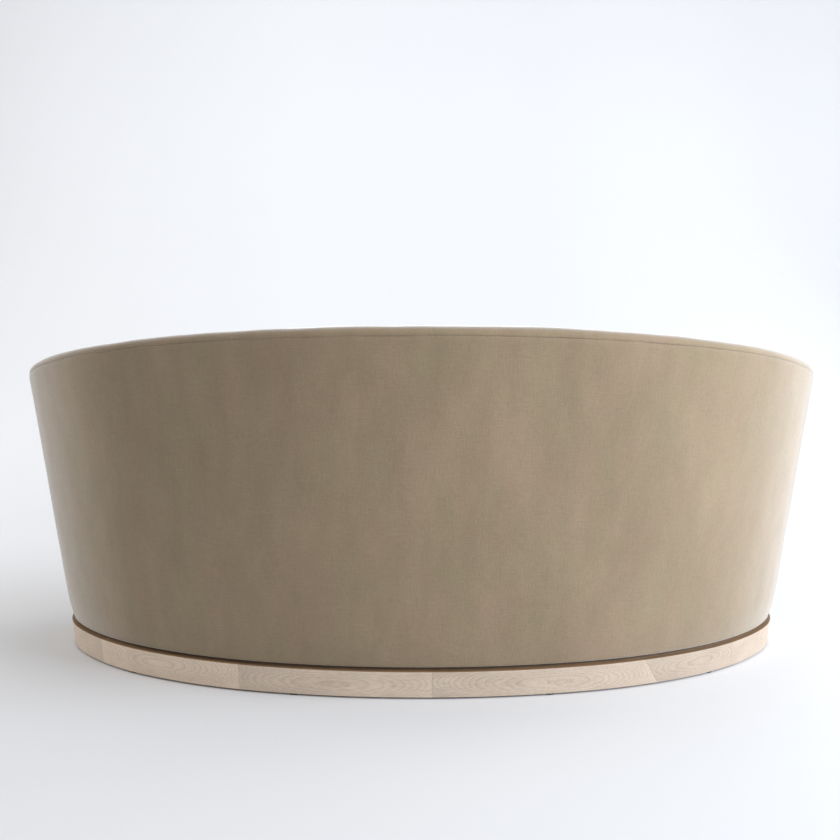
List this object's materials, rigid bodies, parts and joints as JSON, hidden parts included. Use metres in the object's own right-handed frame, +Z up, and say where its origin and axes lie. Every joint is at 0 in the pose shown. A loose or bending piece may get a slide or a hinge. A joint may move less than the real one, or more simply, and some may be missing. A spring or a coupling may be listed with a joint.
{
  "type": "loveseat",
  "caption": "Barrel loveseat: velvet shell with a sloping rolled rim that leans outwards, loose bench cushion, and a low plinth of curved bleached-oak segments.",
  "frame": {"origin": "on the floor, below the middle of the object's box", "axes": "+Z up, +X along the seat's width, the front faces -Y"},
  "size_m": [1.842, 0.882, 0.766],
  "materials": {
    "bleached_oak": "matt limed",
    "dark_stain": "dark stain",
    "plywood": "raw",
    "frame_wood": "raw",
    "zinc_steel": "zinc",
    "felt": "felt",
    "webbing": "woven",
    "foam": "open cell foam",
    "velvet": "velvet",
    "deck_cloth": "plain weave",
    "dust_cloth": "non-woven",
    "zip": "tape"
  },
  "bodies": {
    "shell": {"plinth_segment_01": "bleached_oak", "plinth_segment_02": "bleached_oak", "plinth_segment_03": "bleached_oak", "plinth_segment_04": "bleached_oak", "plinth_segment_05": "bleached_oak", "plinth_segment_06": "bleached_oak", "plinth_segment_07": "bleached_oak", "plinth_segment_08": "bleached_oak", "plinth_segment_09": "bleached_oak", "plinth_segment_10": "bleached_oak", "reveal_band_back_right": "dark_stain", "reveal_band_back_left": "dark_stain", "reveal_band_front_left": "dark_stain", "reveal_band_front_right": "dark_stain", "sole_board_back_right": "plywood", "sole_board_back_left": "plywood", "sole_board_front_left": "plywood", "sole_board_front_right": "plywood", "outer_boards": "plywood", "rib_1": "frame_wood", "rib_2": "frame_wood", "rib_3": "frame_wood", "rib_4": "frame_wood", "rib_5": "frame_wood", "rib_6": "frame_wood", "rib_7": "frame_wood", "rib_8": "frame_wood", "rib_9": "frame_wood", "arm_post_right": "frame_wood", "arm_post_left": "frame_wood", "top_rail_right": "frame_wood", "top_rail_back": "frame_wood", "top_rail_left": "frame_wood", "seat_rail_right": "frame_wood", "seat_rail_back": "frame_wood", "seat_rail_left": "frame_wood", "seat_rail_front": "frame_wood", "seat_stretchers": "frame_wood", "rib_blocks": "frame_wood", "plinth_blocks": "frame_wood", "frame_screws": "zinc_steel", "glides": "felt", "seat_webbing": "webbing", "back_webbing": "webbing", "rim_pad": "foam", "arm_foam_right": "foam", "arm_foam_left": "foam", "back_foam": "foam", "arm_front_pad_right": "foam", "arm_front_pad_left": "foam", "arm_front_cover_right": "velvet", "arm_front_cover_left": "velvet", "outside_cover": "velvet", "inside_cover": "velvet", "front_border": "velvet", "deck_pad": "deck_cloth", "dust_cover": "dust_cloth"},
    "seat_cushion": {"cushion_core": "foam", "cushion_cover": "velvet", "cushion_zip": "zip"}
  },
  "joints": [
    {"name": "cushion_lift", "type": "slide", "parent": "shell", "child": "seat_cushion", "axis": [0, 0, 1], "range_m": [0, 0.3]}
  ]
}
